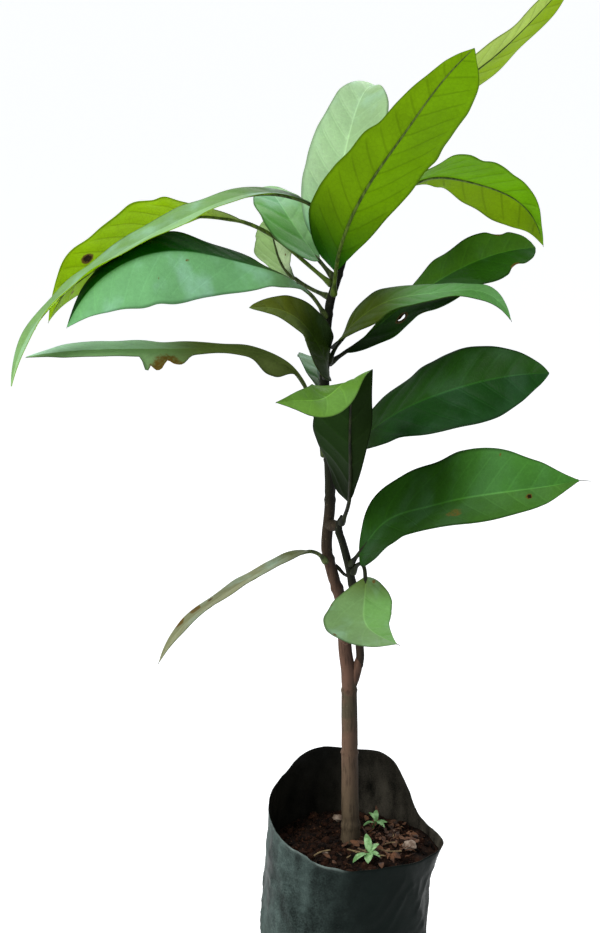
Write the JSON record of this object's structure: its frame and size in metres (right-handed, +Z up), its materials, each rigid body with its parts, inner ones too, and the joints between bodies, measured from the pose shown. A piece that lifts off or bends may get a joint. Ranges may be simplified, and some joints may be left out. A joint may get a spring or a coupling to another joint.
{
  "type": "potted nutmeg sapling",
  "caption": "Young nutmeg tree with large separate leaves on a slim forked stem, standing in a soil-filled black polythene nursery bag.",
  "frame": {"origin": "centre of the bag's flat underside", "axes": "+Z up along the plant, +X to the right of someone who faces the plant's front, +Y away from them"},
  "size_m": [0.2499, 0.165, 0.5853],
  "materials": {
    "bag_film": "thin black polythene film with a grey sheen and soft wrinkles",
    "potting_soil": "dark reddish-brown crumbs, moist",
    "bark": "smooth young bark, olive-grey at the foot and dark brown above",
    "leaf_young": "thin yellow-green leaf with light coming through and a soft gloss",
    "leaf_deep": "leathery dark green leaf with a soft gloss",
    "leaf_pale": "leathery leaf that shows a pale bluish-green side or sheen"
  },
  "bodies": {
    "root": {"nursery_bag": "bag_film", "soil": "potting_soil", "main_stem": "bark", "side_shoot": "bark", "stalk_stub": "bark", "leaf_great_front": "leaf_young", "leaf_top_right": "leaf_young", "leaf_top_back": "leaf_pale", "leaf_back_left_upper": "leaf_pale", "leaf_back_left_lower": "leaf_pale", "leaf_right_arching": "leaf_young", "leaf_left_broad": "leaf_pale", "leaf_left_arching": "leaf_pale", "leaf_left_outer": "leaf_young", "leaf_left_level": "leaf_pale", "leaf_right_notched": "leaf_deep", "leaf_right_keeled": "leaf_deep", "leaf_front_left": "leaf_deep", "leaf_front_folded": "leaf_deep", "leaf_right_middle": "leaf_deep", "leaf_right_lower": "leaf_deep", "leaf_front_drooping": "leaf_pale", "leaf_left_low": "leaf_pale", "leaf_back_short": "leaf_pale"}
  },
  "joints": []
}
